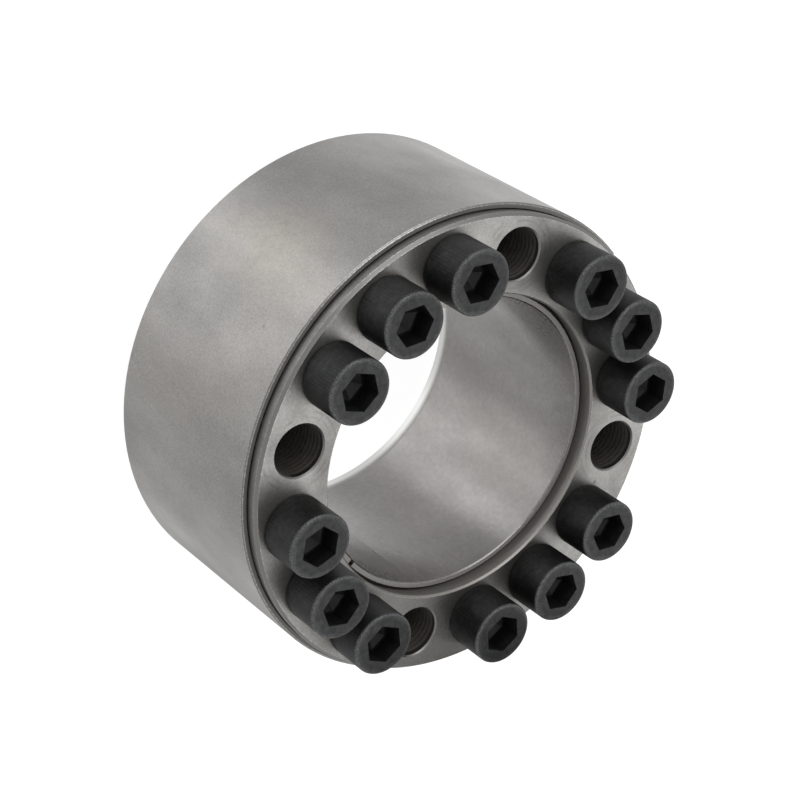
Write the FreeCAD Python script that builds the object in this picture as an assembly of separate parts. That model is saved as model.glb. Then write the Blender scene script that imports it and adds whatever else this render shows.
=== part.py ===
import FreeCAD, Part
import math
import os

# Shaft locking assembly: two double-taper rings drawn together by clamp screws.
# Frame: +Z along the shaft axis towards the screw heads, origin on the axis at the inner ring's rear end.
# Sizes are in millimetres, angles in degrees counter-clockwise seen from the screw heads.

# Outer ring, the slit sleeve that grips the hub
outerDiameter = 134.5
outerRingLength = 59.4
mouthWall = 1.5
mouthChamfer = 0.45
centreLandLength = 18.0
outerSlitAngle = 144.25

# Inner ring, the slit sleeve with a centre web that grips the shaft
boreDiameter = 83.0
innerRingSetback = 0.15
innerRingRearProud = 3.35
noseWall = 2.25
noseChamfer = 0.75
boreEdgeChamfer = 0.3
leadInLength = 4.4
leadInDepth = 0.55
webThickness = 14.0
webEdgeChamfer = 0.5
webToLandClearance = 0.3
webHolePlay = 0.8
innerSlitAngle = 324.25

# Tapers and slits, common to all four rings
taperAngle = 5.0
taperClearance = 0.25
slitWidth = 1.5

# Clamp rings
frontRingProud = 4.05
rearRingProud = 1.6
webGap = 4.0
faceOuterChamfer = 0.9
faceInnerChamfer = 0.5
wedgeEdgeChamfer = 0.4
clearanceHolePlay = 0.65
threadPlay = 0.07
tappedHoleChamfer = 0.6
releaseHoleDiameter = 14.6
releaseHoleChamfer = 0.4

# Hole pattern: evenly divided, near the middle of the rings, a release hole at every fourth place
pitchCircleOffset = 0.25
patternPlaces = 16
placesPerGroup = 4
firstReleaseAngle = 270.0

# Socket head cap screws, size 12 for rings of this width and pitch circle, which their size follows
screwRingWidth = 25.75
screwPitchCircle = 109.0
threadDiameter = 11.9
screwTipInset = 5.05
pointChamfer = 1.2
underHeadFillet = 0.5
headDiameter = 18.0
headHeight = 12.2
headTopChamfer = 0.4
headSeatChamfer = 0.3
socketAcrossFlats = 10.0
socketDepth = 6.0
socketBottomAngle = 120.0
socketTurns = [7, 35, 22, 20, 35, 41, 11, 33, 41, 42, 50, 28]

# Worked out from the sizes above
slope = math.tan(math.radians(taperAngle))
outerRadius = outerDiameter / 2
boreRadius = boreDiameter / 2
ringScale = (outerRadius - boreRadius) / screwRingWidth
mouthRadius = outerRadius - mouthWall * ringScale
noseRadius = boreRadius + noseWall * ringScale
pitchCircleDiameter = outerRadius + boreRadius + pitchCircleOffset
screwScale = min(ringScale, pitchCircleDiameter / screwPitchCircle)
threadRadius = threadDiameter * screwScale / 2
headRadius = headDiameter * screwScale / 2
innerRingLowZ = 0.0
outerRingLowZ = innerRingLowZ + innerRingRearProud
outerRingHighZ = outerRingLowZ + outerRingLength
frontFaceZ = outerRingHighZ + frontRingProud
rearFaceZ = outerRingLowZ - rearRingProud
middleZ = outerRingLowZ + outerRingLength / 2
innerRingHighZ = outerRingHighZ - innerRingSetback
webLowZ = middleZ - webThickness / 2
webHighZ = middleZ + webThickness / 2
cutMargin = 1.0


def outerSeatRadius(z):
    return mouthRadius - slope * (outerRingLength / 2 - abs(z - middleZ))


def innerSeatRadius(z):
    return noseRadius + slope * (innerRingHighZ - middleZ - abs(z - middleZ))


def revolvedSection(points):
    # Turns a closed section of (radius, z) points about the Z axis.
    corners = [FreeCAD.Vector(radius, 0, z) for radius, z in points]
    section = Part.Face(Part.makePolygon(corners + [corners[0]]))
    return section.revolve(FreeCAD.Vector(0, 0, 0), FreeCAD.Vector(0, 0, 1), 360)


def placedOnCircle(shape, angle):
    # Moves a shape made on the Z axis out to the pitch circle.
    placed = shape.copy()
    placed.translate(FreeCAD.Vector(pitchCircleDiameter / 2, 0, 0))
    placed.rotate(FreeCAD.Vector(0, 0, 0), FreeCAD.Vector(0, 0, 1), angle)
    return placed


def holeTool(radius, lowZ, highZ, chamfer=0.0, chamferAtTop=True):
    # A drill with a countersink at the end whose face it opens.
    wide = radius + chamfer + cutMargin
    if chamferAtTop:
        points = [(0, lowZ - cutMargin), (radius, lowZ - cutMargin), (radius, highZ - chamfer),
                  (wide, highZ + cutMargin), (0, highZ + cutMargin)]
    else:
        points = [(0, lowZ - cutMargin), (wide, lowZ - cutMargin), (radius, lowZ + chamfer),
                  (radius, highZ + cutMargin), (0, highZ + cutMargin)]
    return revolvedSection(points)


def slitTool(angle, lowZ, highZ):
    # A saw cut from the axis outwards, at one side of a ring.
    cut = Part.makeBox(outerDiameter, slitWidth, highZ - lowZ + 2 * cutMargin,
                       FreeCAD.Vector(0, -slitWidth / 2, lowZ - cutMargin))
    cut.rotate(FreeCAD.Vector(0, 0, 0), FreeCAD.Vector(0, 0, 1), angle)
    return cut


def patternAngles():
    # Screw places and release places on the pitch circle, both counter-clockwise from the first release hole.
    step = 360.0 / patternPlaces
    screws = []
    releases = []
    for place in range(patternPlaces):
        angle = (firstReleaseAngle + place * step) % 360
        if place % placesPerGroup == 0:
            releases.append(angle)
        else:
            screws.append(angle)
    return screws, releases


def makeOuterRing():
    # Plain cylinder outside. The bore narrows from both mouths to a centre land.
    landHigh = middleZ + centreLandLength / 2
    landLow = middleZ - centreLandLength / 2
    landRadius = outerSeatRadius(landHigh)
    ring = revolvedSection([
        (mouthRadius, outerRingLowZ),
        (outerRadius - mouthChamfer, outerRingLowZ),
        (outerRadius, outerRingLowZ + mouthChamfer),
        (outerRadius, outerRingHighZ - mouthChamfer),
        (outerRadius - mouthChamfer, outerRingHighZ),
        (mouthRadius, outerRingHighZ),
        (landRadius, landHigh),
        (landRadius, landLow)])
    return ring.cut(slitTool(outerSlitAngle, outerRingLowZ, outerRingHighZ))


def makeInnerRing(screwAngles):
    # Bore for the shaft, two tapers outside, and the centre web that the screws pass through.
    webRadius = outerSeatRadius(middleZ + centreLandLength / 2) - webToLandClearance
    noseHighZ = innerRingHighZ - noseChamfer
    noseLowZ = innerRingLowZ + noseChamfer
    ring = revolvedSection([
        (boreRadius + leadInDepth, innerRingLowZ),
        (boreRadius, innerRingLowZ + leadInLength),
        (boreRadius, innerRingHighZ - boreEdgeChamfer),
        (boreRadius + boreEdgeChamfer, innerRingHighZ),
        (noseRadius - noseChamfer, innerRingHighZ),
        (innerSeatRadius(noseHighZ), noseHighZ),
        (innerSeatRadius(webHighZ), webHighZ),
        (webRadius - webEdgeChamfer, webHighZ),
        (webRadius, webHighZ - webEdgeChamfer),
        (webRadius, webLowZ + webEdgeChamfer),
        (webRadius - webEdgeChamfer, webLowZ),
        (innerSeatRadius(webLowZ), webLowZ),
        (innerSeatRadius(noseLowZ), noseLowZ),
        (innerSeatRadius(noseLowZ) - noseChamfer, innerRingLowZ)])
    for angle in screwAngles:
        ring = ring.cut(placedOnCircle(holeTool(threadRadius + webHolePlay, webLowZ, webHighZ), angle))
    return ring.cut(slitTool(innerSlitAngle, innerRingLowZ, innerRingHighZ))


def clampRingBlank(faceZ, wedgeZ):
    # The double-taper wedge between the two sleeves, from its outer face to its end beside the web.
    inward = 1 if wedgeZ > faceZ else -1
    faceEdgeZ = faceZ + inward * faceOuterChamfer
    faceLipZ = faceZ + inward * faceInnerChamfer
    wedgeEdgeZ = wedgeZ - inward * wedgeEdgeChamfer
    return revolvedSection([
        (innerSeatRadius(faceZ) + taperClearance + faceInnerChamfer, faceZ),
        (outerSeatRadius(faceZ) - taperClearance - faceOuterChamfer, faceZ),
        (outerSeatRadius(faceEdgeZ) - taperClearance, faceEdgeZ),
        (outerSeatRadius(wedgeEdgeZ) - taperClearance, wedgeEdgeZ),
        (outerSeatRadius(wedgeZ) - taperClearance - wedgeEdgeChamfer, wedgeZ),
        (innerSeatRadius(wedgeZ) + taperClearance + wedgeEdgeChamfer, wedgeZ),
        (innerSeatRadius(wedgeEdgeZ) + taperClearance, wedgeEdgeZ),
        (innerSeatRadius(faceLipZ) + taperClearance, faceLipZ)])


def makeFrontClampRing(screwAngles, releaseAngles):
    # Clearance holes for the screws, and tapped release holes whose screws push on the web.
    wedgeZ = webHighZ + webGap
    ring = clampRingBlank(frontFaceZ, wedgeZ)
    for angle in screwAngles:
        tool = holeTool(threadRadius + clearanceHolePlay, wedgeZ, frontFaceZ)
        ring = ring.cut(placedOnCircle(tool, angle))
    for angle in releaseAngles:
        tool = holeTool(releaseHoleDiameter * screwScale / 2, wedgeZ, frontFaceZ, releaseHoleChamfer)
        ring = ring.cut(placedOnCircle(tool, angle))
    return ring


def makeRearClampRing(screwAngles):
    # Tapped right through for the screws, countersunk on the rear face.
    wedgeZ = webLowZ - webGap
    ring = clampRingBlank(rearFaceZ, wedgeZ)
    for angle in screwAngles:
        tool = holeTool(threadRadius + threadPlay, rearFaceZ, wedgeZ, tappedHoleChamfer, chamferAtTop=False)
        ring = ring.cut(placedOnCircle(tool, angle))
    return ring


def screwBlank():
    # Head, under-head fillet, shank and chamfered point, turned about the screw's own axis.
    topZ = frontFaceZ + headHeight * screwScale
    pointZ = rearFaceZ + screwTipInset
    filletCentre = (threadRadius + underHeadFillet, frontFaceZ - underHeadFillet)
    filletMiddle = (filletCentre[0] - underHeadFillet * math.cos(math.radians(45)),
                    filletCentre[1] + underHeadFillet * math.sin(math.radians(45)))

    def at(radius, z):
        return FreeCAD.Vector(radius, 0, z)

    start = at(0, topZ)
    path = [start, at(headRadius - headTopChamfer, topZ), at(headRadius, topZ - headTopChamfer),
            at(headRadius, frontFaceZ + headSeatChamfer), at(headRadius - headSeatChamfer, frontFaceZ),
            at(filletCentre[0], frontFaceZ)]
    edges = [Part.makeLine(a, b) for a, b in zip(path, path[1:])]
    edges.append(Part.Arc(path[-1], at(*filletMiddle), at(threadRadius, filletCentre[1])).toShape())
    path = [at(threadRadius, filletCentre[1]), at(threadRadius, pointZ + pointChamfer),
            at(threadRadius - pointChamfer, pointZ), at(0, pointZ), start]
    edges += [Part.makeLine(a, b) for a, b in zip(path, path[1:])]
    section = Part.Face(Part.Wire(edges))
    return section.revolve(FreeCAD.Vector(0, 0, 0), FreeCAD.Vector(0, 0, 1), 360)


def socketTool():
    # Hexagon socket with a drilled cone at its foot.
    topZ = frontFaceZ + headHeight * screwScale
    footZ = topZ - socketDepth * screwScale
    flatRadius = socketAcrossFlats * screwScale / 2
    cornerRadius = flatRadius / math.cos(math.radians(30))
    corners = []
    for index in range(7):
        turn = math.radians(60 * index)
        corners.append(FreeCAD.Vector(cornerRadius * math.cos(turn), cornerRadius * math.sin(turn), footZ))
    hexagon = Part.Face(Part.makePolygon(corners))
    tool = hexagon.extrude(FreeCAD.Vector(0, 0, topZ - footZ + cutMargin))
    coneDepth = flatRadius / math.tan(math.radians(socketBottomAngle / 2))
    foot = Part.makeCone(0, flatRadius, coneDepth, FreeCAD.Vector(0, 0, footZ - coneDepth))
    return tool.fuse(foot)


def makeScrew(angle, socketTurn):
    # socketTurn is the direction of a socket corner in the part's own frame.
    screw = screwBlank().cut(socketTool())
    screw.rotate(FreeCAD.Vector(0, 0, 0), FreeCAD.Vector(0, 0, 1), socketTurn - angle)
    return placedOnCircle(screw, angle)


def save(shape, name):
    solid = shape.Solids[0]
    solid.exportStep(os.path.join("parts", name + ".step"))
    print(name, "solids", len(shape.Solids), "volume", round(shape.Volume, 1), "valid", shape.isValid())


os.makedirs("parts", exist_ok=True)
screwAngles, releaseAngles = patternAngles()
save(makeOuterRing(), "outer_ring")
save(makeInnerRing(screwAngles), "inner_ring")
save(makeFrontClampRing(screwAngles, releaseAngles), "front_clamp_ring")
save(makeRearClampRing(screwAngles), "rear_clamp_ring")
for number, angle in enumerate(screwAngles, start=1):
    turn = socketTurns[(number - 1) % len(socketTurns)]
    save(makeScrew(angle, turn), "clamp_screw_%02d" % number)
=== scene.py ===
import math

import bpy
from mathutils import Matrix, Vector


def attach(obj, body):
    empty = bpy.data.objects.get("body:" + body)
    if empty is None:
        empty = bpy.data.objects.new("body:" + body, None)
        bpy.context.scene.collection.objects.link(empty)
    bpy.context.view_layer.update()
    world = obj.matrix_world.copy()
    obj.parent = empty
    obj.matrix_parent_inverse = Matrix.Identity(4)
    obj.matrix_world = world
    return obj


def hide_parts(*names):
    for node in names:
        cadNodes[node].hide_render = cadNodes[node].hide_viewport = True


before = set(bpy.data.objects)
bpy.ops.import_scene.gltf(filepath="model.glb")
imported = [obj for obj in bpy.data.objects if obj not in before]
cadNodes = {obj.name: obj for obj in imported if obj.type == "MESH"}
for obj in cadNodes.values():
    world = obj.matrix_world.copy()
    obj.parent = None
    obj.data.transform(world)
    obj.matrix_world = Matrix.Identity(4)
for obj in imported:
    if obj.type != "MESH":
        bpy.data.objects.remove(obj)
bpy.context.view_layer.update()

mm = 0.001
print("frame loaded,", len(cadNodes), "nodes")


def linearColor(hexText):
    # sRGB hex to the linear values that shader sockets take
    parts = [int(hexText[i:i + 2], 16) / 255 for i in (1, 3, 5)]
    linear = [part / 12.92 if part <= 0.04045 else ((part + 0.055) / 1.055) ** 2.4 for part in parts]
    return (*linear, 1.0)


def addNode(tree, kind, inputs=None, **settings):
    # one node with its settings; an input is either a value or the socket that feeds it
    node = tree.nodes.new(kind)
    for name, value in settings.items():
        setattr(node, name, value)
    for name, value in (inputs or {}).items():
        if isinstance(value, bpy.types.NodeSocket):
            tree.links.new(value, node.inputs[name])
        else:
            node.inputs[name].default_value = value
    return node


def newTree(name):
    material = bpy.data.materials.new(name)
    material.use_nodes = True
    material.node_tree.nodes.clear()
    return material, material.node_tree


def clearSelection():
    if bpy.context.object and bpy.context.object.mode != "OBJECT":
        bpy.ops.object.mode_set(mode="OBJECT")
    bpy.ops.object.select_all(action="DESELECT")


def selectOnly(obj):
    clearSelection()
    obj.select_set(True)
    bpy.context.view_layer.objects.active = obj


def selectWhere(obj, keep):
    # goes to edit mode with only the vertices that keep(co) accepts selected
    bpy.ops.object.mode_set(mode="EDIT")
    bpy.ops.mesh.select_mode(type="VERT")
    bpy.ops.mesh.select_all(action="DESELECT")
    bpy.ops.object.mode_set(mode="OBJECT")
    for vert in obj.data.vertices:
        vert.select = keep(vert.co)
    bpy.ops.object.mode_set(mode="EDIT")


def applyModifier(obj, kind, **settings):
    selectOnly(obj)
    modifier = obj.modifiers.new(kind.lower(), kind)
    for name, value in settings.items():
        setattr(modifier, name, value)
    bpy.ops.object.modifier_apply(modifier=modifier.name)


def cutWith(obj, tool, operation="DIFFERENCE"):
    applyModifier(obj, "BOOLEAN", operation=operation, solver="EXACT", object=tool)
    bpy.data.objects.remove(tool)


# Camera: the photo is taken with the part on its side, so the camera is rolled;
# its turns are degrees about X, Y and Z
cameraView = {
    "place": (-0.189039, -0.400605, 0.488369),
    "turn": (-28.24087, -35.83456, 107.45023),
    "lens": 103.782,
    "sensor": 36.0,
    "nearest": 0.01,
    "furthest": 30.0,
}
bpy.ops.object.camera_add(location=cameraView["place"],
                          rotation=[math.radians(degrees) for degrees in cameraView["turn"]])
camera = bpy.context.object
camera.data.lens = cameraView["lens"]
camera.data.sensor_width = cameraView["sensor"]
camera.data.clip_start = cameraView["nearest"]
camera.data.clip_end = cameraView["furthest"]
bpy.context.scene.camera = camera
bpy.context.scene.view_settings.view_transform = "Standard"

# Studio: polished metal sees a pale room with a few soft boxes, placed by heading and height in degrees;
# a negative gain is a darker side of the room
studio = {
    "paleRoom": 0.86,
    "diffuseLevel": 0.72,
    "softBoxes": [
        {"heading": 215, "height": -45, "core": 3, "edge": 14, "gain": 0.6},
        {"heading": 241, "height": -45, "core": 8, "edge": 24, "gain": 0.37},
        {"heading": 266, "height": -45, "core": 6, "edge": 20, "gain": 0.24},
        {"heading": 52, "height": -34, "core": 8, "edge": 27, "gain": -0.5},
        {"heading": 97, "height": -40, "core": 10, "edge": 45, "gain": 0.09},
        {"heading": 172, "height": -45, "core": 4, "edge": 28, "gain": -0.14},
        {"heading": 325, "height": -45, "core": 8, "edge": 40, "gain": -0.14},
    ],
    "lamps": [
        {"heading": 190, "height": 42, "distance": 1.3, "size": 0.9, "power": 4.5},
        {"heading": 60, "height": 55, "distance": 1.3, "size": 0.9, "power": 3.0},
    ],
    "flag": {"place": (0.105, 0.062, 0.114), "heading": 58.8, "height": 41.2, "radius": 0.038, "corners": 48,
             "tone": (0.003, 0.003, 0.003, 1)},
    "floorSize": 8.0,
    "floorDrop": 0.02,   # mm, so that the part's lowest face doesn't lie in the paper
    "floorGlow": 0.92,
    "floorSeen": 0.24,
    "floorBounce": 0.80,
}


def headingVector(heading, height):
    turn, rise = math.radians(heading), math.radians(height)
    return Vector((math.cos(turn) * math.cos(rise), math.sin(turn) * math.cos(rise), math.sin(rise)))


def makeWorld():
    world = bpy.data.worlds.new("paleStudio")
    bpy.context.scene.world = world
    world.use_nodes = True
    tree = world.node_tree
    tree.nodes.clear()
    place = addNode(tree, "ShaderNodeTexCoord").outputs["Generated"]
    level = addNode(tree, "ShaderNodeValue")
    level.outputs[0].default_value = studio["paleRoom"]
    total = level.outputs[0]
    for box in studio["softBoxes"]:
        toward = headingVector(box["heading"], box["height"])
        facing = addNode(tree, "ShaderNodeVectorMath", {0: place, 1: toward},
                         operation="DOT_PRODUCT").outputs["Value"]
        glow = addNode(tree, "ShaderNodeMapRange", {
            "Value": facing, "From Min": math.cos(math.radians(box["edge"])),
            "From Max": math.cos(math.radians(box["core"])), "To Min": 0.0, "To Max": box["gain"]},
            interpolation_type="SMOOTHSTEP").outputs["Result"]
        total = addNode(tree, "ShaderNodeMath", {0: total, 1: glow}, operation="ADD").outputs[0]
    rays = addNode(tree, "ShaderNodeLightPath").outputs
    seenInMetal = addNode(tree, "ShaderNodeMath", {
        0: rays["Is Glossy Ray"], 1: rays["Is Transmission Ray"]}, operation="MAXIMUM").outputs[0]
    strength = addNode(tree, "ShaderNodeMix", {
        0: seenInMetal, 2: studio["diffuseLevel"], 3: total}).outputs[0]
    strength = addNode(tree, "ShaderNodeMix", {0: rays["Is Camera Ray"], 2: strength, 3: 1.0}).outputs[0]
    background = addNode(tree, "ShaderNodeBackground", {"Color": (1, 1, 1, 1), "Strength": strength})
    addNode(tree, "ShaderNodeOutputWorld", {"Surface": background.outputs[0]})


def makeLamps():
    for lamp in studio["lamps"]:
        toward = headingVector(lamp["heading"], lamp["height"])
        bpy.ops.object.light_add(type="AREA", location=toward * lamp["distance"])
        light = bpy.context.object
        light.rotation_euler = toward.to_track_quat("Z", "Y").to_euler()
        light.data.size = lamp["size"]
        light.data.energy = lamp["power"]


def makeFlag():
    # a black card beside the part, out of the picture, that only the metal sees;
    # it takes the glare off the lower face
    clearSelection()
    card = studio["flag"]
    turn = headingVector(card["heading"], card["height"]).to_track_quat("Z", "Y").to_euler()
    bpy.ops.mesh.primitive_circle_add(vertices=card["corners"], radius=card["radius"], fill_type="NGON",
                                      location=card["place"], rotation=turn)
    flag = bpy.context.object
    flag.name = "blackFlag"
    bpy.ops.object.transform_apply(location=True, rotation=True)
    flag.visible_camera = False
    flag.visible_diffuse = False
    flag.visible_shadow = False
    material, tree = newTree("blackFelt")
    felt = addNode(tree, "ShaderNodeBsdfDiffuse", {"Color": card["tone"]})
    addNode(tree, "ShaderNodeOutputMaterial", {"Surface": felt.outputs[0]})
    flag.data.materials.append(material)


def makeFloor():
    # the floor glows to the camera so that it reads as white paper and still takes the part's soft shadow
    clearSelection()
    bpy.ops.mesh.primitive_plane_add(size=studio["floorSize"], location=(0, 0, -studio["floorDrop"] * mm))
    floor = bpy.context.object
    floor.name = "paperFloor"
    bpy.ops.object.transform_apply(location=True)
    material, tree = newTree("whitePaper")
    rays = addNode(tree, "ShaderNodeLightPath").outputs
    tone = addNode(tree, "ShaderNodeMix", {
        0: rays["Is Camera Ray"], 2: studio["floorBounce"], 3: studio["floorSeen"]})
    paper = addNode(tree, "ShaderNodeBsdfDiffuse", {"Color": tone.outputs[0]})
    glow = addNode(tree, "ShaderNodeMath", {
        0: rays["Is Camera Ray"], 1: studio["floorGlow"]}, operation="MULTIPLY")
    shine = addNode(tree, "ShaderNodeEmission", {"Color": (1, 1, 1, 1), "Strength": glow.outputs[0]})
    lit = addNode(tree, "ShaderNodeAddShader", {0: paper.outputs[0], 1: shine.outputs[0]})
    clear = addNode(tree, "ShaderNodeBsdfTransparent")
    seenInMetal = addNode(tree, "ShaderNodeMath", {
        0: rays["Is Glossy Ray"], 1: rays["Is Transmission Ray"]}, operation="MAXIMUM").outputs[0]
    mixed = addNode(tree, "ShaderNodeMixShader", {0: seenInMetal, 1: lit.outputs[0], 2: clear.outputs[0]})
    addNode(tree, "ShaderNodeOutputMaterial", {"Surface": mixed.outputs[0]})
    floor.data.materials.append(material)


makeWorld()
makeLamps()
makeFlag()
makeFloor()
print("studio and floor made")

# Rings: sizes in millimetres and degrees; every fourth place of the pitch circle is a release hole
ringSizes = {
    "pitchRadius": 54.5,
    "faceHeight": 66.8,
    "places": 16,
    "firstPlace": 270.0,
    "mouthAbove": 60.0,   # the lips of the front gap all lie higher than this
}
# How far a surface faces along the axis, from 0 for a wall to 1 for a flat end
axialFacing = {
    "chamferMiddle": 0.7,
    "chamferSpread": 0.25,
    "flatEnd": 0.96,
}
# Marks that the ring steels share
wear = {
    # bare edges: worn steel, and a painted highlight in place of a rounded edge's glint
    "bareAndGlint": "#b2b1ad", "bareRoughness": 0.28,
    "edgeCore": 0.35, "edgeFade": 1.3,
    "nickSize": 0.55, "nickLeast": 0.1,
    "pit": "#3a3936", "pitCore": 0.3,
    "stainSlice": 3.7,   # keeps the stains' noise apart from the clouds'
}

# Steel surfaces: sizes in millimetres, colours as sRGB hex, edges as (radius, height, half width); the
# chamfer colour is painted shade
groundSteel = {   # outer ring: carbon steel, cylindrically ground and oiled; fine matt grain, cloudy patches
    "name": "groundCarbonSteel",
    "dark": "#929190", "light": "#a7a5a3", "warm": "#a29d96", "chamfer": "#7d7c79",
    "cloudSize": 17.0, "stretch": 1.6, "warmSize": 30.0, "warmShare": 0.35,
    "grainSize": 0.5, "grainDepth": 0.16,
    "roughness": 0.34, "roughnessSpread": 0.08,
    "bumpHeight": 0.012,
    "matt": {"colour": "#6b6966", "metallic": 0.3, "roughness": 0.5},
    "patch": {"at": (-43.2, -51.5, 30.8), "reach": 24.0, "flakeSize": 1.6, "colour": "#b2aca1",
              "share": 0.42},
    "pit": {"at": (-26.8, -61.7, 49.8), "reach": 0.7, "share": 0.35},
    "edges": [(66.85, 62.75, 0.16), (67.25, 62.3, 0.12), (67.25, 3.8, 0.12), (66.85, 3.35, 0.16)],
}
turnedSteel = {   # clamp rings: turned faces and tapers, faint concentric tool lines, edges knocked bright and given a painted highlight
    "name": "turnedCarbonSteel",
    "dark": "#7f7e7c", "light": "#979693", "warm": "#938f89", "chamfer": "#7b7a78",
    "cloudSize": 11.0, "stretch": 1.0, "warmSize": 24.0, "warmShare": 0.3,
    "grainSize": 0.6, "grainDepth": 0.14,
    "roughness": 0.42, "roughnessSpread": 0.10,
    "bumpHeight": 0.010, "toolLinePitch": 0.7, "toolLineShare": 0.25,
    "matt": {"wall": 44.25, "colour": "#8b8884", "metallic": 0.55, "roughness": 0.35},
    # painted shade on the flat face, darker towards the bore
    "paintedShadeInward": {"from": 54.0, "to": 45.0, "colour": "#5b5a58", "share": 0.4},
    "holeMarks": {"radii": [9.3, 10.9], "halfWidth": 0.3, "fadeSize": 6.0, "colour": "#4a4946",
                  "share": 0.24},
    "pit": {"at": (11, 52, 66.8), "reach": 0.75, "share": 0.5},
    "edges": [(65.77, 65.9, 0.09), (64.95, 66.8, 0.10), (44.13, 66.8, 0.07), (43.67, 66.3, 0.05)],
}
boredSteel = {   # inner ring: fine bored and honed bore, satin; soft even grain, drawn coarser than real
    "name": "boredCarbonSteel",
    "dark": "#8a8887", "light": "#9d9b9a", "warm": "#9e9892", "chamfer": "#787775",
    "cloudSize": 15.0, "stretch": 2.0, "warmSize": 26.0, "warmShare": 0.3,
    "grainSize": 1.3, "grainDepth": 0.07,
    "roughness": 0.26, "roughnessSpread": 0.05,
    "matt": {"colour": "#858280", "metallic": 0.25, "roughness": 0.5},
    "edges": [(41.8, 62.6, 0.08), (43.0, 62.6, 0.08)],
    # painted highlight: a near-white band at the rear end of the bore
    "leadIn": {"wall": 42.4, "from": 4.0, "to": 1.6, "light": "#e4e4e2", "roughness": 0.2},
}


def readSurface(tree, look):
    # the sockets that the steels' patterns read, all in the piece's own frame
    coordinates = addNode(tree, "ShaderNodeTexCoord").outputs
    place = coordinates["Object"]
    axes = addNode(tree, "ShaderNodeSeparateXYZ", {0: place}).outputs
    flat = addNode(tree, "ShaderNodeCombineXYZ", {"X": axes["X"], "Y": axes["Y"]}).outputs[0]
    radius = addNode(tree, "ShaderNodeVectorMath", {0: flat}, operation="LENGTH").outputs["Value"]
    along = addNode(tree, "ShaderNodeMapping", {
        "Vector": place, "Scale": (1, 1, 1 / look["stretch"])}).outputs[0]
    axial = addNode(tree, "ShaderNodeSeparateXYZ", {0: coordinates["Normal"]}).outputs["Z"]
    axial = addNode(tree, "ShaderNodeMath", {0: axial}, operation="ABSOLUTE").outputs[0]
    flatEnd = addNode(tree, "ShaderNodeMath", {
        0: axial, 1: axialFacing["flatEnd"]}, operation="GREATER_THAN").outputs[0]
    # this mask carries the painted shade on the chamfers
    chamfer = addNode(tree, "ShaderNodeMath", {
        0: axial, 1: axialFacing["chamferMiddle"], 2: axialFacing["chamferSpread"]},
        operation="COMPARE").outputs[0]
    return {"place": place, "flat": flat, "radius": radius, "height": axes["Z"], "along": along,
            "flatEnd": flatEnd, "chamfer": chamfer}


def steelClouds(tree, look, surface):
    # two greys in soft clouds, with warmer stains and a fine grain over them
    cloud = addNode(tree, "ShaderNodeTexNoise", {
        "Vector": surface["along"], "Scale": 1 / (look["cloudSize"] * mm), "Detail": 4.0,
        "Roughness": 0.55}).outputs[0]
    cloud = addNode(tree, "ShaderNodeMapRange", {
        "Value": cloud, "From Min": 0.3, "From Max": 0.7}).outputs["Result"]
    colour = addNode(tree, "ShaderNodeMix", {
        0: cloud, 6: linearColor(look["dark"]), 7: linearColor(look["light"])}, data_type="RGBA").outputs[2]
    stain = addNode(tree, "ShaderNodeTexNoise", {
        "Vector": surface["along"], "W": wear["stainSlice"], "Scale": 1 / (look["warmSize"] * mm),
        "Detail": 2.0}, noise_dimensions="4D").outputs[0]
    stain = addNode(tree, "ShaderNodeMapRange", {
        "Value": stain, "From Min": 0.45, "From Max": 0.7, "To Max": look["warmShare"]}).outputs["Result"]
    colour = addNode(tree, "ShaderNodeMix", {
        0: stain, 6: colour, 7: linearColor(look["warm"])}, data_type="RGBA").outputs[2]
    grain = addNode(tree, "ShaderNodeTexNoise", {
        "Vector": surface["place"], "Scale": 1 / (look["grainSize"] * mm), "Detail": 3.0,
        "Roughness": 0.6}).outputs[0]
    shade = addNode(tree, "ShaderNodeMapRange", {
        "Value": grain, "From Min": 0.3, "From Max": 0.7, "To Min": 1 - look["grainDepth"],
        "To Max": 1 + look["grainDepth"]}).outputs["Result"]
    colour = addNode(tree, "ShaderNodeVectorMath", {0: colour, 1: shade}, operation="MULTIPLY").outputs[0]
    return colour, cloud, grain


def addPatch(tree, look, surface, colour):
    # a paler patch with a ragged edge on the outer wall
    patch = look["patch"]
    centre = [part * mm / scale for part, scale in zip(patch["at"], (1, 1, look["stretch"]))]
    gap = addNode(tree, "ShaderNodeVectorMath", {
        0: surface["along"], 1: centre}, operation="DISTANCE").outputs["Value"]
    share = addNode(tree, "ShaderNodeMapRange", {
        "Value": gap, "From Min": 0.1 * patch["reach"] * mm, "From Max": patch["reach"] * mm,
        "To Min": patch["share"], "To Max": 0.0}, interpolation_type="SMOOTHSTEP").outputs["Result"]
    ragged = addNode(tree, "ShaderNodeTexNoise", {
        "Vector": surface["place"], "Scale": 1 / (patch["flakeSize"] * mm), "Detail": 4.0}).outputs[0]
    ragged = addNode(tree, "ShaderNodeMapRange", {
        "Value": ragged, "From Min": 0.3, "From Max": 0.62}).outputs["Result"]
    share = addNode(tree, "ShaderNodeMath", {0: share, 1: ragged}, operation="MULTIPLY").outputs[0]
    return addNode(tree, "ShaderNodeMix", {
        0: share, 6: colour, 7: linearColor(patch["colour"])}, data_type="RGBA").outputs[2]


def mattLip(tree, matt, surface):
    # 1 on the narrow lip or wall next to the front gap, which stays matt from the tool
    above = addNode(tree, "ShaderNodeMath", {
        0: surface["height"], 1: ringSizes["mouthAbove"] * mm}, operation="GREATER_THAN").outputs[0]
    lip = surface["flatEnd"]
    if "wall" in matt:
        lip = addNode(tree, "ShaderNodeMath", {
            0: surface["radius"], 1: matt["wall"] * mm}, operation="LESS_THAN").outputs[0]
    return addNode(tree, "ShaderNodeMath", {0: lip, 1: above}, operation="MULTIPLY").outputs[0]


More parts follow.
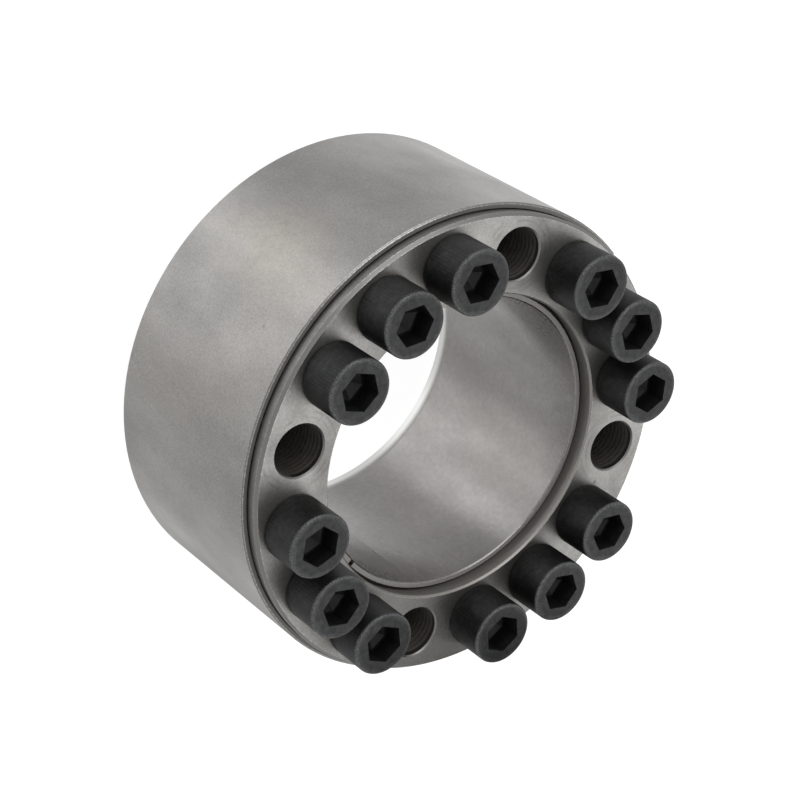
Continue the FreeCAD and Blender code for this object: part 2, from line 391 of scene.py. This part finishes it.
def paintedShadeInward(tree, inwardShade, surface, colour):
    # painted shade: the flat face is painted darker towards the bore
    inward = addNode(tree, "ShaderNodeMapRange", {
        "Value": surface["radius"], "From Min": inwardShade["from"] * mm, "From Max": inwardShade["to"] * mm,
        "To Max": inwardShade["share"]}, interpolation_type="SMOOTHSTEP").outputs["Result"]
    inward = addNode(tree, "ShaderNodeMath", {
        0: inward, 1: surface["flatEnd"]}, operation="MULTIPLY").outputs[0]
    return addNode(tree, "ShaderNodeMix", {
        0: inward, 6: colour, 7: linearColor(inwardShade["colour"])}, data_type="RGBA").outputs[2]


def addHoleMarks(tree, marks, surface, colour):
    # faint rings round each release hole, broken in places; folding the plane about its axes and its
    # diagonal lays the four holes on one another
    folded = addNode(tree, "ShaderNodeVectorMath", {
        0: surface["flat"]}, operation="ABSOLUTE").outputs["Vector"]
    folded = addNode(tree, "ShaderNodeSeparateXYZ", {0: folded}).outputs
    far = addNode(tree, "ShaderNodeMath", {0: folded["X"], 1: folded["Y"]}, operation="MAXIMUM").outputs[0]
    near = addNode(tree, "ShaderNodeMath", {0: folded["X"], 1: folded["Y"]}, operation="MINIMUM").outputs[0]
    holeSpot = addNode(tree, "ShaderNodeCombineXYZ", {"X": far, "Y": near}).outputs[0]
    ringGap = addNode(tree, "ShaderNodeVectorMath", {
        0: holeSpot, 1: (ringSizes["pitchRadius"] * mm, 0, 0)}, operation="DISTANCE").outputs["Value"]
    fade = addNode(tree, "ShaderNodeTexNoise", {
        "Vector": surface["place"], "Scale": 1 / (marks["fadeSize"] * mm), "Detail": 1.0}).outputs[0]
    fade = addNode(tree, "ShaderNodeMapRange", {
        "Value": fade, "From Min": 0.45, "From Max": 0.6}).outputs["Result"]
    for radius in marks["radii"]:
        line = addNode(tree, "ShaderNodeMath", {
            0: ringGap, 1: radius * mm, 2: marks["halfWidth"] * mm}, operation="COMPARE").outputs[0]
        for share in (fade, marks["share"], surface["flatEnd"]):
            line = addNode(tree, "ShaderNodeMath", {0: line, 1: share}, operation="MULTIPLY").outputs[0]
        colour = addNode(tree, "ShaderNodeMix", {
            0: line, 6: colour, 7: linearColor(marks["colour"])}, data_type="RGBA").outputs[2]
    return colour


def addPit(tree, pit, surface, colour):
    gap = addNode(tree, "ShaderNodeVectorMath", {
        0: surface["place"], 1: [part * mm for part in pit["at"]]}, operation="DISTANCE").outputs["Value"]
    dot = addNode(tree, "ShaderNodeMapRange", {
        "Value": gap, "From Min": wear["pitCore"] * pit["reach"] * mm, "From Max": pit["reach"] * mm,
        "To Min": pit["share"], "To Max": 0.0}).outputs["Result"]
    return addNode(tree, "ShaderNodeMix", {
        0: dot, 6: colour, 7: linearColor(wear["pit"])}, data_type="RGBA").outputs[2]


def wornEdgesAndGlint(tree, edges, surface):
    # 1 on the turned edges, fading to 0 at each edge's half width and broken by small nicks; the bright edge
    # is worn steel and also a painted highlight in place of a rounded edge's glint
    spot = addNode(tree, "ShaderNodeCombineXYZ", {"X": surface["radius"], "Y": surface["height"]}).outputs[0]
    total = None
    for radius, height, halfWidth in edges:
        gap = addNode(tree, "ShaderNodeVectorMath", {
            0: spot, 1: (radius * mm, height * mm, 0)}, operation="DISTANCE").outputs["Value"]
        near = addNode(tree, "ShaderNodeMapRange", {
            "Value": gap, "From Min": wear["edgeCore"] * halfWidth * mm,
            "From Max": wear["edgeFade"] * halfWidth * mm, "To Min": 1.0, "To Max": 0.0},
            interpolation_type="SMOOTHSTEP").outputs["Result"]
        total = near if total is None else addNode(tree, "ShaderNodeMath", {
            0: total, 1: near}, operation="MAXIMUM").outputs[0]
    nick = addNode(tree, "ShaderNodeTexNoise", {
        "Vector": surface["place"], "Scale": 1 / (wear["nickSize"] * mm), "Detail": 2.0}).outputs[0]
    nick = addNode(tree, "ShaderNodeMapRange", {
        "Value": nick, "From Min": 0.42, "From Max": 0.62, "To Min": wear["nickLeast"]}).outputs["Result"]
    return addNode(tree, "ShaderNodeMath", {0: total, 1: nick}, operation="MULTIPLY").outputs[0]


def paintedHighlightLeadIn(tree, leadIn, surface):
    # painted highlight: 1 on the lead-in at the far end of the bore, fading in from its upper end, where it
    # takes a near-white colour
    below = addNode(tree, "ShaderNodeMapRange", {
        "Value": surface["height"], "From Min": leadIn["from"] * mm, "From Max": leadIn["to"] * mm},
        interpolation_type="SMOOTHSTEP").outputs["Result"]
    inside = addNode(tree, "ShaderNodeMath", {
        0: surface["radius"], 1: leadIn["wall"] * mm}, operation="LESS_THAN").outputs[0]
    return addNode(tree, "ShaderNodeMath", {0: below, 1: inside}, operation="MULTIPLY").outputs[0]


def steelRelief(tree, look, surface, grain):
    relief = grain
    if "toolLinePitch" in look:
        # tool lines, drawn at several times their real feed so that they still show
        turns = addNode(tree, "ShaderNodeMath", {
            0: surface["radius"], 1: 2 * math.pi / (look["toolLinePitch"] * mm)},
            operation="MULTIPLY").outputs[0]
        wave = addNode(tree, "ShaderNodeMath", {0: turns}, operation="SINE").outputs[0]
        relief = addNode(tree, "ShaderNodeMath", {
            0: wave, 1: look["toolLineShare"], 2: grain}, operation="MULTIPLY_ADD").outputs[0]
    return addNode(tree, "ShaderNodeBump", {
        "Height": relief, "Strength": 1.0, "Distance": look["bumpHeight"] * mm}).outputs[0]


def makeSteel(look):
    material, tree = newTree(look["name"])
    surface = readSurface(tree, look)
    colour, cloud, grain = steelClouds(tree, look, surface)
    rough = addNode(tree, "ShaderNodeMapRange", {
        "Value": cloud, "To Min": look["roughness"] + look["roughnessSpread"] / 2,
        "To Max": look["roughness"] - look["roughnessSpread"] / 2}).outputs["Result"]
    metal = look.get("metallic", 1.0)
    if "patch" in look:
        colour = addPatch(tree, look, surface, colour)
    # painted shade: the chamfers are painted darker than the faces beside them
    colour = addNode(tree, "ShaderNodeMix", {
        0: surface["chamfer"], 6: colour, 7: linearColor(look["chamfer"])}, data_type="RGBA").outputs[2]
    if "matt" in look:
        lip = mattLip(tree, look["matt"], surface)
        colour = addNode(tree, "ShaderNodeMix", {
            0: lip, 6: colour, 7: linearColor(look["matt"]["colour"])}, data_type="RGBA").outputs[2]
        metal = addNode(tree, "ShaderNodeMix", {0: lip, 2: 1.0, 3: look["matt"]["metallic"]}).outputs[0]
    if "paintedShadeInward" in look:
        colour = paintedShadeInward(tree, look["paintedShadeInward"], surface, colour)
    if "holeMarks" in look:
        colour = addHoleMarks(tree, look["holeMarks"], surface, colour)
    if "pit" in look:
        colour = addPit(tree, look["pit"], surface, colour)
    if "edges" in look:
        wornAndGlint = wornEdgesAndGlint(tree, look["edges"], surface)
        colour = addNode(tree, "ShaderNodeMix", {
            0: wornAndGlint, 6: colour, 7: linearColor(wear["bareAndGlint"])}, data_type="RGBA").outputs[2]
        rough = addNode(tree, "ShaderNodeMix", {0: wornAndGlint, 2: rough, 3: wear["bareRoughness"]}).outputs[0]
    # painted highlight on the lead-in
    if "leadIn" in look:
        paintedHighlight = paintedHighlightLeadIn(tree, look["leadIn"], surface)
        colour = addNode(tree, "ShaderNodeMix", {
            0: paintedHighlight, 6: colour, 7: linearColor(look["leadIn"]["light"])}, data_type="RGBA").outputs[2]
        rough = addNode(tree, "ShaderNodeMix", {
            0: paintedHighlight, 2: rough, 3: look["leadIn"]["roughness"]}).outputs[0]
    if "matt" in look:
        rough = addNode(tree, "ShaderNodeMix", {0: lip, 2: rough, 3: look["matt"]["roughness"]}).outputs[0]
    finish = {"Base Color": colour, "Metallic": metal, "Roughness": rough}
    if "bumpHeight" in look:
        finish["Normal"] = steelRelief(tree, look, surface, grain)
    steel = addNode(tree, "ShaderNodeBsdfPrincipled", finish)
    addNode(tree, "ShaderNodeOutputMaterial", {"Surface": steel.outputs[0]})
    return material


def dress(node, material):
    cadNodes[node].data.materials.clear()
    cadNodes[node].data.materials.append(material)


turnedMaterial = makeSteel(turnedSteel)
dress("outer_ring", makeSteel(groundSteel))
dress("inner_ring", makeSteel(boredSteel))
dress("front_clamp_ring", turnedMaterial)
dress("rear_clamp_ring", turnedMaterial)
print("ring steels made")

# The screws' patterns read a UV map of the distance from the screw's axis and the height over its seat
turnedMap = {
    "name": "turned",
    "unit": 20.0,   # mm for one unit of the map
}
blackOxide = {   # screws: quenched alloy steel, hot blackened and oiled; near black, lighter where rubbed
    "name": "blackOxideAlloySteel",
    "dark": "#212121", "light": "#343535",
    "cloudSize": 1.5, "grainSize": 0.3,
    "coat": 0.6, "roughness": 0.46,
    "bumpHeight": 0.03,
    "rim": {"at": (8.88, 12.05), "core": 0.15, "reach": 0.95, "dotSize": 0.4, "colour": "#636464"},
    # painted shade: the knurl's grooves and the socket's depths are painted darker
    "knurl": {"ridge": 8.97, "groove": 8.84, "wall": 8.7, "below": 11.5, "patchSize": 5.0, "share": 0.6,
              "colour": "#161716"},
    "socket": {"corner": 5.95, "from": 12.0, "to": 9.0, "share": 0.7, "colour": "#191a19"},
}


def mapUnits(size):
    return size / turnedMap["unit"]


def rubRim(tree, rim, place, spot, colour):
    # the rounded rim is rubbed in small dots
    gap = addNode(tree, "ShaderNodeVectorMath", {
        0: spot, 1: (mapUnits(rim["at"][0]), mapUnits(rim["at"][1]), 0)},
        operation="DISTANCE").outputs["Value"]
    rubbed = addNode(tree, "ShaderNodeMapRange", {
        "Value": gap, "From Min": mapUnits(rim["core"]), "From Max": mapUnits(rim["reach"]), "To Min": 1.0,
        "To Max": 0.0}, interpolation_type="SMOOTHSTEP").outputs["Result"]
    dots = addNode(tree, "ShaderNodeTexNoise", {
        "Vector": place, "Scale": 1 / (rim["dotSize"] * mm), "Detail": 3.0}).outputs[0]
    dots = addNode(tree, "ShaderNodeMapRange", {
        "Value": dots, "From Min": 0.35, "From Max": 0.65, "To Min": 0.2}).outputs["Result"]
    rubbed = addNode(tree, "ShaderNodeMath", {0: rubbed, 1: dots}, operation="MULTIPLY").outputs[0]
    return addNode(tree, "ShaderNodeMix", {
        0: rubbed, 6: colour, 7: linearColor(rim["colour"])}, data_type="RGBA").outputs[2]


def shadeKnurlGrooves(tree, knurl, place, reach, colour):
    # painted shade: the grooves of the side are painted darker in patches, in place of the shading that shows
    # the knurl; the ridges keep the coat's colour
    groove = addNode(tree, "ShaderNodeMapRange", {
        "Value": reach["X"], "From Min": mapUnits(knurl["ridge"]), "From Max": mapUnits(knurl["groove"]),
        "To Max": knurl["share"]}).outputs["Result"]
    patch = addNode(tree, "ShaderNodeTexNoise", {
        "Vector": place, "Scale": 1 / (knurl["patchSize"] * mm), "Detail": 2.0}).outputs[0]
    patch = addNode(tree, "ShaderNodeMapRange", {
        "Value": patch, "From Min": 0.38, "From Max": 0.6}).outputs["Result"]
    side = addNode(tree, "ShaderNodeMath", {
        0: reach["X"], 1: mapUnits(knurl["wall"])}, operation="GREATER_THAN").outputs[0]
    below = addNode(tree, "ShaderNodeMath", {
        0: reach["Y"], 1: mapUnits(knurl["below"])}, operation="LESS_THAN").outputs[0]
    for share in (patch, side, below):
        groove = addNode(tree, "ShaderNodeMath", {0: groove, 1: share}, operation="MULTIPLY").outputs[0]
    return addNode(tree, "ShaderNodeMix", {
        0: groove, 6: colour, 7: linearColor(knurl["colour"])}, data_type="RGBA").outputs[2]


def shadeSocketDepth(tree, socket, reach, colour):
    # painted shade: the socket's walls are painted darker, more so with depth
    within = addNode(tree, "ShaderNodeMath", {
        0: reach["X"], 1: mapUnits(socket["corner"])}, operation="LESS_THAN").outputs[0]
    depthShade = addNode(tree, "ShaderNodeMapRange", {
        "Value": reach["Y"], "From Min": mapUnits(socket["from"]), "From Max": mapUnits(socket["to"]),
        "To Max": socket["share"]}).outputs["Result"]
    depthShade = addNode(tree, "ShaderNodeMath", {0: within, 1: depthShade}, operation="MULTIPLY").outputs[0]
    return addNode(tree, "ShaderNodeMix", {
        0: depthShade, 6: colour, 7: linearColor(socket["colour"])}, data_type="RGBA").outputs[2]


def makeBlackOxide(look):
    material, tree = newTree(look["name"])
    place = addNode(tree, "ShaderNodeTexCoord").outputs["Object"]
    spot = addNode(tree, "ShaderNodeUVMap", uv_map=turnedMap["name"]).outputs[0]
    reach = addNode(tree, "ShaderNodeSeparateXYZ", {0: spot}).outputs
    cloud = addNode(tree, "ShaderNodeTexNoise", {
        "Vector": place, "Scale": 1 / (look["cloudSize"] * mm), "Detail": 4.0, "Roughness": 0.6}).outputs[0]
    cloud = addNode(tree, "ShaderNodeMapRange", {
        "Value": cloud, "From Min": 0.35, "From Max": 0.7}).outputs["Result"]
    colour = addNode(tree, "ShaderNodeMix", {
        0: cloud, 6: linearColor(look["dark"]), 7: linearColor(look["light"])}, data_type="RGBA").outputs[2]
    colour = rubRim(tree, look["rim"], place, spot, colour)
    colour = shadeKnurlGrooves(tree, look["knurl"], place, reach, colour)
    colour = shadeSocketDepth(tree, look["socket"], reach, colour)
    grain = addNode(tree, "ShaderNodeTexNoise", {
        "Vector": place, "Scale": 1 / (look["grainSize"] * mm), "Detail": 3.0}).outputs[0]
    bump = addNode(tree, "ShaderNodeBump", {
        "Height": grain, "Strength": 1.0, "Distance": look["bumpHeight"] * mm})
    surface = addNode(tree, "ShaderNodeBsdfPrincipled", {
        "Base Color": colour, "Metallic": look["coat"], "Roughness": look["roughness"],
        "Normal": bump.outputs[0]})
    addNode(tree, "ShaderNodeOutputMaterial", {"Surface": surface.outputs[0]})
    return material


# Socket head cap screw, modelled once about its own axis with the head's seat at height 0, then copied
capScrew = {
    "headRadius": 9.0, "headHeight": 12.2,
    # the head's outline as (radius, height), from the seat over the side and the rounded rim to the face
    "headOutline": [(8.7, 0), (8.95, 0.25), (9.0, 0.6), (9.0, 0.95), (9.0, 1.2), (9.0, 11.2), (9.0, 11.5),
                    (8.97, 11.72), (8.86, 11.95), (8.68, 12.11), (8.45, 12.18), (8.2, 12.2)],
    "teeth": 60, "toothDepth": 0.2, "knurlFrom": 1.1, "knurlTo": 11.3,
    "socketFlats": 10.0, "socketDepth": 6.0, "drillStep": 0.7, "drillDepth": 2.4,
    "driftStand": 2.0,
    # the fillet under the head
    "neckOutline": [(6.45, 0.0), (6.12, -0.14), (5.97, -0.45)],
    "neckEnd": 0.6, "shankRadius": 5.95, "plainLength": 24.0, "length": 60.0,
    "rootRadius": 5.0, "rootTaper": 0.9, "rootChamfer": 0.4, "pointChamfer": 1.2,
    "pitch": 1.75, "halfCrest": 0.11, "halfRoot": 0.86, "rootOverlap": 0.12, "threadStart": 0.6,
    "threadSteps": 40, "trimClearance": 0.5, "trimGap": 0.3, "trimSides": 80,
    "smoothAngle": 28,
    "socketTurns": [7, 35, 22, 20, 35, 41, 11, 33, 41, 42, 50, 28],
}


def raiseRings(rows):
    # from the selected ring of vertices, pulls up one ring after another; each row is (radius, height)
    radius, height = rows[0]
    for nextRadius, nextHeight in rows[1:]:
        bpy.ops.mesh.extrude_region_move(TRANSFORM_OT_translate={"value": (0, 0, (nextHeight - height) * mm)})
        scale = nextRadius / radius
        bpy.ops.transform.resize(value=(scale, scale, 1), center_override=(0, 0, nextHeight * mm))
        radius, height = nextRadius, nextHeight
    bpy.ops.mesh.edge_face_add()


def modelHelix(name, outer, inner, outerHalf, innerHalf, pitch, turns, low, steps):
    # a thread ridge: a four-sided profile wound up the axis, closed at both ends
    clearSelection()
    bpy.ops.mesh.primitive_plane_add(size=1)
    ridge = bpy.context.object
    ridge.name = name
    profile = [(outer, -outerHalf), (inner, -innerHalf), (inner, innerHalf), (outer, outerHalf)]
    corners = sorted(ridge.data.vertices, key=lambda vert: math.atan2(vert.co.y, vert.co.x))
    for vert, (radius, height) in zip(corners, profile):
        vert.co = Vector((radius, 0, height + low)) * mm
    bpy.ops.object.mode_set(mode="EDIT")
    bpy.ops.mesh.select_all(action="SELECT")
    bpy.ops.mesh.delete(type="ONLY_FACE")
    bpy.ops.object.mode_set(mode="OBJECT")
    applyModifier(ridge, "SCREW", axis="Z", angle=2 * math.pi, screw_offset=pitch * mm, iterations=turns,
                  steps=steps, render_steps=steps, use_normal_calculate=True)
    bpy.ops.object.mode_set(mode="EDIT")
    bpy.ops.mesh.select_all(action="DESELECT")
    bpy.ops.mesh.select_mode(type="EDGE")
    bpy.ops.mesh.select_non_manifold()
    bpy.ops.mesh.fill()
    bpy.ops.mesh.select_all(action="SELECT")
    bpy.ops.mesh.normals_make_consistent(inside=False)
    bpy.ops.object.mode_set(mode="OBJECT")
    return ridge


def turnBlank(sizes):
    # the screw without its socket and thread: head from the seat up, then the shank from the seat down
    seatRadius = sizes["headOutline"][0][0]
    clearSelection()
    bpy.ops.mesh.primitive_circle_add(vertices=2 * sizes["teeth"], radius=seatRadius * mm,
                                      fill_type="NOTHING")
    blank = bpy.context.object
    bpy.ops.object.mode_set(mode="EDIT")
    bpy.ops.mesh.select_all(action="SELECT")
    raiseRings(sizes["headOutline"])
    selectWhere(blank, lambda co: abs(co.z) < 1e-6)
    threadTop, end = -sizes["plainLength"], -sizes["length"]
    raiseRings([(seatRadius, 0), *sizes["neckOutline"], (sizes["shankRadius"], -sizes["neckEnd"]),
                (sizes["shankRadius"], threadTop), (sizes["rootRadius"], threadTop - sizes["rootTaper"]),
                (sizes["rootRadius"], end + sizes["rootChamfer"]),
                (sizes["rootRadius"] - sizes["rootChamfer"], end)])
    return blank


def pressKnurl(blank, sizes):
    # every second line of the side is pressed in
    step = 2 * math.pi / (2 * sizes["teeth"])

    def pressed(co):
        line = round(math.atan2(co.y, co.x) / step)
        return line % 2 == 1 and sizes["knurlFrom"] * mm < co.z < sizes["knurlTo"] * mm

    selectWhere(blank, pressed)
    scale = 1 - sizes["toothDepth"] / sizes["headRadius"]
    bpy.ops.transform.resize(value=(scale, scale, 1), center_override=(0, 0, 0))
    bpy.ops.mesh.select_all(action="SELECT")
    bpy.ops.mesh.remove_doubles(threshold=0.001 * mm)
    bpy.ops.mesh.normals_make_consistent(inside=False)
    bpy.ops.object.mode_set(mode="OBJECT")


def cutSocket(screw, sizes):
    # hexagon socket: a six-sided drift with a drilled point, which stands out of the face
    top, stand = sizes["headHeight"], sizes["driftStand"]
    corner = sizes["socketFlats"] / 2 / math.cos(math.radians(30))
    clearSelection()
    bpy.ops.mesh.primitive_cylinder_add(
        vertices=6, radius=corner * mm, depth=(sizes["socketDepth"] + stand) * mm,
        location=(0, 0, (top + stand / 2 - sizes["socketDepth"] / 2) * mm))
    drift = bpy.context.object
    bpy.ops.object.transform_apply(location=True)
    first = drift.data.vertices[0].co
    drift.data.transform(Matrix.Rotation(-math.atan2(first.y, first.x), 4, "Z"))
    low = (top - sizes["socketDepth"]) * mm
    selectWhere(drift, lambda co: co.z < low + 0.1 * mm)
    bpy.ops.mesh.inset(thickness=sizes["drillStep"] * mm)
    bpy.ops.mesh.extrude_region_move(TRANSFORM_OT_translate={"value": (0, 0, -sizes["drillDepth"] * mm)})
    bpy.ops.mesh.merge(type="CENTER")
    bpy.ops.object.mode_set(mode="OBJECT")
    cutWith(screw, drift)


def addThread(screw, sizes):
    # thread on the lower end, trimmed to the chamfered point by a sleeve that narrows at its foot
    length, shankRadius = sizes["length"], sizes["shankRadius"]
    turns = int((length - sizes["plainLength"]) / sizes["pitch"]) + 1
    thread = modelHelix("threadRidge", shankRadius, sizes["rootRadius"] - sizes["rootOverlap"],
                        sizes["halfCrest"], sizes["halfRoot"], sizes["pitch"], turns,
                        -length - sizes["threadStart"], sizes["threadSteps"])
    clear, gap = sizes["trimClearance"], sizes["trimGap"]
    clearSelection()
    bpy.ops.mesh.primitive_cylinder_add(vertices=sizes["trimSides"], radius=(shankRadius + clear) * mm,
                                        depth=(length - sizes["plainLength"] - gap) * mm,
                                        location=(0, 0, -(length + sizes["plainLength"] + gap) / 2 * mm))
    sleeve = bpy.context.object
    bpy.ops.object.transform_apply(location=True)
    selectWhere(sleeve, lambda co: co.z < (-length + 0.1) * mm)
    bpy.ops.mesh.extrude_region_move(TRANSFORM_OT_translate={"value": (0, 0, 0)})
    point = (shankRadius - sizes["pointChamfer"]) / (shankRadius + clear)
    bpy.ops.transform.resize(value=(point, point, 1), center_override=(0, 0, -length * mm))
    selectWhere(sleeve, lambda co: co.z < (-length + 0.1) * mm and co.xy.length > shankRadius * mm)
    bpy.ops.transform.translate(value=(0, 0, (sizes["pointChamfer"] + clear) * mm))
    bpy.ops.object.mode_set(mode="OBJECT")
    cutWith(thread, sleeve, "INTERSECT")
    cutWith(screw, thread, "UNION")


def addTurnedMap(obj):
    layer = obj.data.uv_layers.new(name=turnedMap["name"])
    unit = turnedMap["unit"] * mm
    for loop in obj.data.loops:
        co = obj.data.vertices[loop.vertex_index].co
        layer.data[loop.index].uv = (co.xy.length / unit, co.z / unit)


def modelScrew(sizes):
    screw = turnBlank(sizes)
    pressKnurl(screw, sizes)
    cutSocket(screw, sizes)
    addThread(screw, sizes)
    addTurnedMap(screw)
    return screw


def finishMaster(master, material, smoothAngle):
    master.data.materials.append(material)
    selectOnly(master)
    bpy.ops.object.shade_smooth_by_angle(angle=math.radians(smoothAngle))


def placeAngles():
    # the pitch circle is divided evenly: first the screws' places, then the release holes'
    step = 360 / ringSizes["places"]
    angles = [(ringSizes["firstPlace"] + i * step) % 360 for i in range(ringSizes["places"])]
    return [angle for i, angle in enumerate(angles) if i % 4], angles[::4]


def copyTo(master, name, angle, height=0.0, turn=0.0):
    # a copy with its own mesh, turned about its axis and set on the pitch circle
    piece = master.copy()
    piece.data = master.data.copy()
    piece.name = name
    bpy.context.collection.objects.link(piece)
    outward = Vector((math.cos(math.radians(angle)), math.sin(math.radians(angle)), 0))
    place = outward * ringSizes["pitchRadius"] * mm
    place.z = height * mm
    piece.data.transform(Matrix.Translation(place) @ Matrix.Rotation(math.radians(turn), 4, "Z"))
    return piece


screwAngles, releaseAngles = placeAngles()
screwMaster = modelScrew(capScrew)
finishMaster(screwMaster, makeBlackOxide(blackOxide), capScrew["smoothAngle"])
for number, (angle, turn) in enumerate(zip(screwAngles, capScrew["socketTurns"]), start=1):
    piece = copyTo(screwMaster, "cap_screw_%02d" % number, angle, ringSizes["faceHeight"], turn)
    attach(piece, "screw_%02d" % number)
    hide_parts("clamp_screw_%02d" % number)
bpy.data.objects.remove(screwMaster)
print("screws made")

# Thread of the release holes, the next size up from the screws; its ridges stand only about 0.05 mm off
# the plain bore's wall, as no more of them shows than faint lines
releaseThread = {
    "wall": 7.31, "crest": 7.25, "pitch": 1.5,
    "halfBase": 0.75, "halfCrest": 0.25,
    "low": 44.75, "turns": 14, "steps": 56,
    "smoothAngle": 30,
}
shadedThreadSteel = {   # tapped thread: cut steel, painted dark as shade so that the holes are dark inside
    "name": "shadePaintedThreadSteel",
    "dark": "#4a4744", "light": "#605c58", "warm": "#665e54", "chamfer": "#4a4744", "metallic": 0.2,
    "cloudSize": 3.0, "stretch": 1.0, "warmSize": 8.0, "warmShare": 0.5,
    "grainSize": 0.5, "grainDepth": 0.15,
    "roughness": 0.55, "roughnessSpread": 0.10,
    "bumpHeight": 0.010,
}


def modelReleaseThread(sizes):
    return modelHelix("releaseRidge", sizes["wall"], sizes["crest"], sizes["halfBase"], sizes["halfCrest"],
                      sizes["pitch"], sizes["turns"], sizes["low"], sizes["steps"])


ridgeMaster = modelReleaseThread(releaseThread)
finishMaster(ridgeMaster, makeSteel(shadedThreadSteel), releaseThread["smoothAngle"])
for number, angle in enumerate(releaseAngles, start=1):
    piece = copyTo(ridgeMaster, "release_thread_%02d" % number, angle)
    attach(piece, "front_ring")
bpy.data.objects.remove(ridgeMaster)
print("release threads made")
